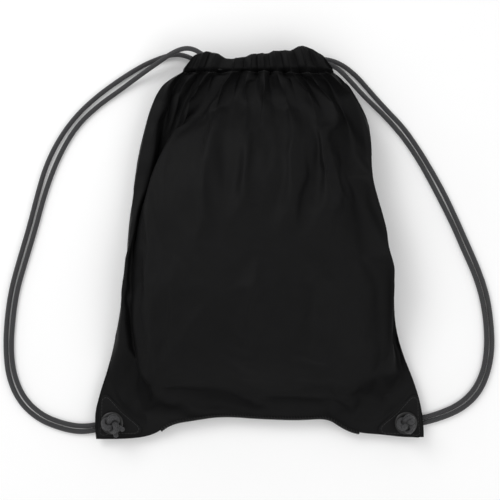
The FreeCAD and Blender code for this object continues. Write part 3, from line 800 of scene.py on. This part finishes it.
def make_channel_cloth(face, panel, material):
    """The hem turned over both cords: up outside them, folded at the mouth and down inside."""
    side = 1 if face == "front" else -1
    last_row = np.array([vertex.co for vertex in panel.data.vertices[-(COLUMNS + 1):]])
    across = np.linspace(0, 1, CHANNEL_COLUMNS + 1)
    stitched = at_fractions(last_row, across)
    travelled = distances(last_row)
    step = np.interp(across, travelled / travelled[-1], np.linspace(0, 1, COLUMNS + 1))
    phase = uneven_phase(step, FOLD_SEEDS[face], 2.6, PLEATS)
    ridge = (1 + side * np.sin(phase)) / 2
    ridge = np.clip(ridge + 0.125 * np.sin(3.1 * phase + 1.3) * np.sin(0.7 * phase), 0, 1)
    spread = (stitched[:, 0] - stitched[0, 0]) / (stitched[-1, 0] - stitched[0, 0])
    outer_x, inner_x = blend_values(*OUTER_ENDS, spread), blend_values(*INNER_ENDS, spread)
    top_line = smooth_line(in_metres([(x, y, 0) for x, y in HEM_TOP]))
    middle = CORD_HEIGHTS[face]
    rings = []
    for turn in np.linspace(0, 2 * math.pi, CHANNEL_STEPS + 1):
        outer = turn <= math.pi
        share = (1 - math.cos(turn)) / 2
        reach = share if outer else min(1, 3.5 * share)
        shift = ease((turn - 0.8 * math.pi) / (0.4 * math.pi))
        x = blend_values(stitched[:, 0], blend_values(outer_x, inner_x, shift), reach)
        top = np.interp(x, top_line[:, 0], top_line[:, 1]) + HEM_RIPPLE * (ridge - 0.5)
        y = blend_values(stitched[:, 1], top, share)
        bulge = abs(math.sin(turn)) ** 0.55
        if outer:
            off_cords = OUTER_CLEAR + OUTER_RUFFLE * ridge
        else:
            off_cords = -(INNER_CLEAR + INNER_RUFFLE * (1 - ridge))
        loop = middle + side * bulge * off_cords
        z = blend_values(stitched[:, 2], loop, float(ease(share / 0.2)))
        z = np.maximum(z, CLOTH_LIFT) if face == "back" else z
        rings.append(np.stack([x, y, z], axis=-1))
    places = np.array(rings)
    around = np.linspace(0, 2 * HEM_DEPTH, CHANNEL_STEPS + 1)
    width = step * FLAT_WIDTH
    faces = grid_faces(CHANNEL_STEPS + 1, CHANNEL_COLUMNS + 1, False)
    uvs = grid_uvs(CHANNEL_STEPS + 1, CHANNEL_COLUMNS + 1, False, width, FLAT_HEIGHT + around)
    points = places.reshape(-1, 3)
    piece = make_mesh_piece(f"{face}_hem", points, faces.tolist(), material, uvs)
    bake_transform(piece)
    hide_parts(f"{face}_channel")
    return piece


# ---- sewing ----

STITCH = 0.0026
STITCH_GAP = 0.0007
THREAD = 0.00055


def smooth_tube(points, radius, sides):
    """A plain round tube along a line, with its ends drawn in."""
    spokes = spokes_round(points, 2 * np.pi * np.arange(sides) / sides)
    size = np.full(len(points), radius)
    size[0] = size[-1] = radius * 0.35
    rings = points[:, None] + size[:, None, None] * spokes
    faces = grid_faces(len(points), sides, True).tolist()
    faces.append(list(range(sides))[::-1])
    faces.append([len(points) * sides - sides + k for k in range(sides)])
    return rings.reshape(-1, 3), faces


def join_parts(parts):
    """One set of points and faces from several."""
    points, faces, count = [], [], 0
    for part_points, part_faces in parts:
        points.append(part_points)
        faces.extend([[count + k for k in face] for face in part_faces])
        count += len(part_points)
    return np.concatenate(points), faces


def stitches_along(line):
    """Short dashes of thread that follow a line, a little sunk at both ends of each."""
    length = distances(line)[-1]
    count = max(2, int(length / (STITCH + STITCH_GAP)))
    parts = []
    for number in range(count):
        first = (number + 0.1) / count
        last = first + STITCH / length
        points = at_fractions(line, np.linspace(first, min(last, 1), 5))
        parts.append(smooth_tube(points, THREAD / 2, 6))
    return parts


def make_hem_stitches(face, panel, material):
    side = 1 if face == "front" else -1
    rows = np.array([vertex.co for vertex in panel.data.vertices])
    rows = rows.reshape(ROWS + 1, COLUMNS + 1, 3)
    line = rows[ROWS - 1]
    line[:, 2] += side * THREAD * 0.45
    points, faces = join_parts(stitches_along(at_fractions(line, np.linspace(0.01, 0.99, 600))))
    piece = make_mesh_piece(f"{face}_hem_stitches", points, faces, material)
    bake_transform(piece)


ROLL = 0.0016  # radius of the rolled allowances
ROLL_SIDES = 14
OVERLOCK_PITCH = 0.003
OVERLOCK_STEPS = 14  # points in one turn of the thread


def make_bottom_seam(material, thread_material):
    """The allowances rolled together between the corners, with overlock thread wound round."""
    low, high = (corner[0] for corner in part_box("bottom_seam"))
    line = smooth_line(in_metres(BOTTOM_SEAM))
    line = line[(line[:, 0] > low) & (line[:, 0] < high)]
    line = at_fractions(line, np.linspace(0, 1, 500))
    line[:, 1] -= 0.0006
    points, faces = smooth_tube(line, ROLL, ROLL_SIDES)
    roll = make_mesh_piece("bottom_seam_roll", points, faces, material, plan_uvs(faces, points))
    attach(roll, "root")
    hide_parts("bottom_seam")
    turns = int(distances(line)[-1] / OVERLOCK_PITCH)
    fractions = np.linspace(0.002, 0.998, turns * OVERLOCK_STEPS)
    middle = at_fractions(line, fractions)
    up, side = frames_along(middle)
    angle = (2 * np.pi * turns * fractions)[:, None]
    wound = middle + (ROLL + THREAD * 0.3) * (np.cos(angle) * up + np.sin(angle) * side)
    points, faces = smooth_tube(wound, THREAD / 2, 5)
    thread = make_mesh_piece("bottom_seam_thread", points, faces, thread_material)
    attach(thread, "root")


def plan_uvs(faces, points):
    """UVs in metres for cloth that has no flat cut of its own: across and along the bag."""
    return np.array([points[k][:2] for face in faces for k in face])


# ---- corner patches, eyelets and knots ----

PATCH_CORNERS = [(1, 1), (55, 6), (6, 53)]  # millimetres in from the bag's corner
PATCH_ROUND = 0.005
PATCH_HOLE = 0.0068
PATCH_DIRECTIONS = 120
PATCH_STITCH_INSET = 0.0032


def eyelet_centre(name):
    low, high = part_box(f"{name}_eyelet")
    return np.array([(low[0] + high[0]) / 2, (low[1] + high[1]) / 2])


def patch_outline(side):
    """The rounded triangle of a patch, from above."""
    tip = np.array([side * 0.174, -0.206])
    inwards = np.array([-side, 1])
    corners = [tip + inwards * np.array(corner) * MM for corner in PATCH_CORNERS]
    radius = PATCH_ROUND
    outline = []
    for before, corner, after in zip(corners[-1:] + corners[:-1], corners, corners[1:] + corners[:1]):
        back, on = unit(before - corner), unit(after - corner)
        half = math.acos(np.clip(back.dot(on), -1, 1)) / 2
        bisector = unit(back + on)
        centre = corner + bisector * radius / math.sin(half)
        start = corner + back * radius / math.tan(half) - centre
        end = corner + on * radius / math.tan(half) - centre
        for share in np.linspace(0, 1, 9):
            direction = unit(blend_values(start, end, share))
            outline.append(centre + direction * radius)
    return np.array(outline)


def points_round(centre, distance, angles, height):
    """Points at given distances and heights round a vertical axis."""
    x = centre[0] + distance * np.cos(angles)
    y = centre[1] + distance * np.sin(angles)
    return np.stack(np.broadcast_arrays(x, y, height), axis=-1)


def outline_reach(outline, centre, angles):
    """How far the outline is from the centre in each direction."""
    closed = np.concatenate([outline, outline[:1]])
    dense = at_fractions(closed, np.linspace(0, 1, 2400))
    offset = dense - centre
    bearing = np.mod(np.arctan2(offset[:, 1], offset[:, 0]), 2 * np.pi)
    order = np.argsort(bearing)
    return np.interp(angles, bearing[order], np.linalg.norm(offset, axis=1)[order], period=2 * np.pi)


def make_patch(name, side, layer, material, thread_material):
    """A flat patch with softly rounded edges round the eyelet's hole, and its line of stitches."""
    node = f"{name}_corner_{layer}_patch"
    low, high = (corner[2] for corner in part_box(node))
    centre = eyelet_centre(name)
    outline = patch_outline(side)
    angles = np.linspace(0, 2 * np.pi, PATCH_DIRECTIONS, endpoint=False)
    reach = outline_reach(outline, centre, angles)
    edge = (high - low) * 0.45
    # Rings of points from the outer edge, over the stitched groove and in to the hole.
    places = [(reach, low), (reach, high - edge), (reach - 0.3 * edge, high - 0.3 * edge)]
    for inset, dip in ((1.0, 0), (2.4, 0), (3.2, 0.25), (4.0, 0), (5.5, 0)):
        places.append((reach - inset * MM, high - dip * MM))
    rim = places[-1][0]
    for share in (0.3, 0.6, 1.0):
        places.append((blend_values(rim, PATCH_HOLE, share), high))
    places.append((np.full_like(reach, PATCH_HOLE), low))
    points = [points_round(centre, distance, angles, z) for distance, z in places]
    points = np.array(points).reshape(-1, 3)
    faces = grid_faces(len(places), PATCH_DIRECTIONS, True)
    if layer == "back":
        points[:, 2] = low + high - points[:, 2]
        faces = faces[:, ::-1]
    faces = faces.tolist()
    cloth = node.replace("patch", "patch_cloth")
    piece = make_mesh_piece(cloth, points, faces, material, plan_uvs(faces, points))
    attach(piece, "root")
    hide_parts(node)
    circle = np.append(angles, angles[:1] + 2 * np.pi)
    distance = np.append(reach, reach[0]) - PATCH_STITCH_INSET
    surface = high - 0.1 * MM if layer == "front" else low + 0.1 * MM
    line = points_round(centre, distance, circle, surface)
    points, faces = join_parts(stitches_along(at_fractions(line, np.linspace(0, 1, 900))))
    thread = make_mesh_piece(f"{name}_{layer}_patch_stitches", points, faces, thread_material)
    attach(thread, "root")


LATHE_SIDES = 72


def lathe(name, centre, profile, material):
    """A closed ring turned about the vertical through centre; profile is (radius, height)."""
    angle = np.linspace(0, 2 * np.pi, LATHE_SIDES, endpoint=False)
    profile = np.array([*profile, profile[0]])
    points = points_round(centre, profile[:, :1], angle, profile[:, 1:])[:-1].reshape(-1, 3)
    faces = grid_faces(len(profile), LATHE_SIDES, True) % len(points)
    return make_mesh_piece(name, points, faces.tolist(), material)


def arc(centre, radius, first, last, steps):
    """Points of a profile's rounded stretch; angles in degrees."""
    angles = np.radians(np.linspace(first, last, steps))
    return [(centre[0] + radius * math.cos(a), centre[1] + radius * math.sin(a)) for a in angles]


EYELET_BORE = 0.006
EYELET_WALL = 0.0006


def make_eyelet(name, material):
    """A barrel through the cloth with a domed flange over it."""
    low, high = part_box(f"{name}_eyelet")
    outer, bore, wall = (high[0] - low[0]) / 2, EYELET_BORE, EYELET_WALL
    flange_under = high[2] - 0.0016
    crown = (outer + bore) / 2
    profile = [(bore, low[2] + 0.0008), (bore + 0.0003, low[2] + 0.0002)]
    profile += arc((0.0073, low[2] + 0.0005), 0.0005, -90, 90, 6)
    profile += [(bore + wall, low[2] + 0.001), (bore + wall, flange_under)]
    profile += [(outer - 0.0006, flange_under), (outer - 0.0001, flange_under + 0.0003)]
    for angle in np.linspace(0.04 * math.pi, 0.93 * math.pi, 12):
        radius = crown + (outer - bore) / 2 * math.cos(angle)
        profile.append((radius, flange_under + 0.0004 + 0.0012 * math.sin(angle) ** 0.7))
    profile.append((bore, flange_under))
    ring = lathe(f"{name}_eyelet_ring", eyelet_centre(name), profile, material)
    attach(ring, "root")
    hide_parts(f"{name}_eyelet")


def make_washer(name, material):
    """A flat ring with eased edges under the cloth."""
    low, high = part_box(f"{name}_eyelet_washer")
    outer, inner, edge = (high[0] - low[0]) / 2, PATCH_HOLE, 0.0003
    profile = [
        (inner, high[2] - edge),
        (inner, low[2] + edge),
        (inner + edge, low[2]),
        (outer - edge, low[2]),
        (outer, low[2] + edge),
        (outer, high[2] - edge),
        (outer - edge, high[2]),
        (inner + edge, high[2]),
    ]
    washer = lathe(f"{name}_washer_ring", eyelet_centre(name), profile, material)
    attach(washer, "root")
    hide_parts(f"{name}_eyelet_washer")


KNOT_STRAND = 0.0045  # cord drawn tight in a knot
KNOT_REACH = 0.0078
KNOT_RISE = 0.0044
KNOT_PAIR = 0.0021  # half the distance between the two cords in the knot
TAIL = 0.0155  # a loose end, from the knot's middle
TAIL_START = 0.004
TAIL_BEND = 0.0012
# The turn from +X and the tilt above level of each side's two loose ends, in degrees.
TAILS = {"left": [(-27, 3), (-69, 3)], "right": [(35, 66), (205, 72)]}


def tied_loop(turned, raised):
    """One cord's way through an overhand knot, closed on itself."""
    spread = 1.12 * KNOT_REACH
    places = []
    for t in np.linspace(0, 2 * math.pi, 24, endpoint=False):
        x = (math.sin(t) + 2 * math.sin(2 * t)) / 3
        y = (math.cos(t) - 2 * math.cos(2 * t)) / 3
        z = -math.sin(3 * t)
        turned_x = x * math.cos(turned) - y * math.sin(turned)
        turned_y = x * math.sin(turned) + y * math.cos(turned)
        places.append((turned_x * spread, turned_y * spread, 1.25 * z * KNOT_RISE + raised))
    return places


def rounded_end(share):
    """A tail's end, melted to a soft tip."""
    return np.sqrt(np.clip((1 - share) / 0.12, 0.02, 1))


def make_knot(name, material):
    """Both ends of a cord knotted together on the eyelet, with their loose ends."""
    centre = np.append(eyelet_centre(name), KNOT_BASE + KNOT_RISE + KNOT_PAIR + KNOT_STRAND / 2)
    shrink = KNOT_STRAND / CORD
    parts, uvs = [], []

    def add(line, taper):
        points, faces, part_uvs = braided_tube(line, taper)
        parts.append((points, faces.tolist()))
        uvs.append(part_uvs)

    for turned, raised in ((0.3, KNOT_PAIR), (0.75, -KNOT_PAIR)):
        loop = smooth_line(tied_loop(turned, raised), closed=True)
        loop = np.concatenate([loop, loop[:1]]) + centre
        add(loop, lambda share: np.full_like(share, shrink))
    for turn, tilt in TAILS[name]:
        turn, tilt = math.radians(turn), math.radians(tilt)
        level = math.cos(tilt)
        out = np.array([math.cos(turn) * level, math.sin(turn) * level, math.sin(tilt)])
        bend = np.array([-math.sin(turn), math.cos(turn), 0.0]) * TAIL_BEND
        line = [centre + out * TAIL_START, centre + out * 0.5 * TAIL + bend, centre + out * TAIL]
        add(smooth_line(line), rounded_end)
    for end in (ROUTES[name][0], ROUTES[name][-1]):
        foot = np.array(end)
        head = np.append(blend_values(foot[:2], centre[:2], 0.4), centre[2])
        add(np.linspace(foot, head, 8), lambda share: np.full_like(share, 0.98))
    points, faces = join_parts(parts)
    piece = make_mesh_piece(f"{name}_knot_tied", points, faces, material, np.concatenate(uvs))
    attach(piece, "root")
    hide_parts(f"{name}_knot")


make_camera()
make_studio()
cord_material = make_cord_material()
thread_material = make_thread_material()
metal_material = make_metal_material()
cloth_material = make_cloth_material("black_polyester", (0.0034, 0.0034, 0.0036), 0.0006)
patch_material = make_cloth_material("coated_polyester", (0.0048, 0.0048, 0.005), 0.0008)
for name, side in (("left", -1), ("right", 1)):
    make_eyelet(name, metal_material)
    make_washer(name, metal_material)
    make_knot(name, cord_material)
    for layer in ("front", "back"):
        make_patch(name, side, layer, patch_material, thread_material)
make_cords(cord_material)
for face, panel in make_panels(cloth_material).items():
    make_channel_cloth(face, panel, cloth_material)
    make_hem_stitches(face, panel, thread_material)
make_bottom_seam(cloth_material, thread_material)
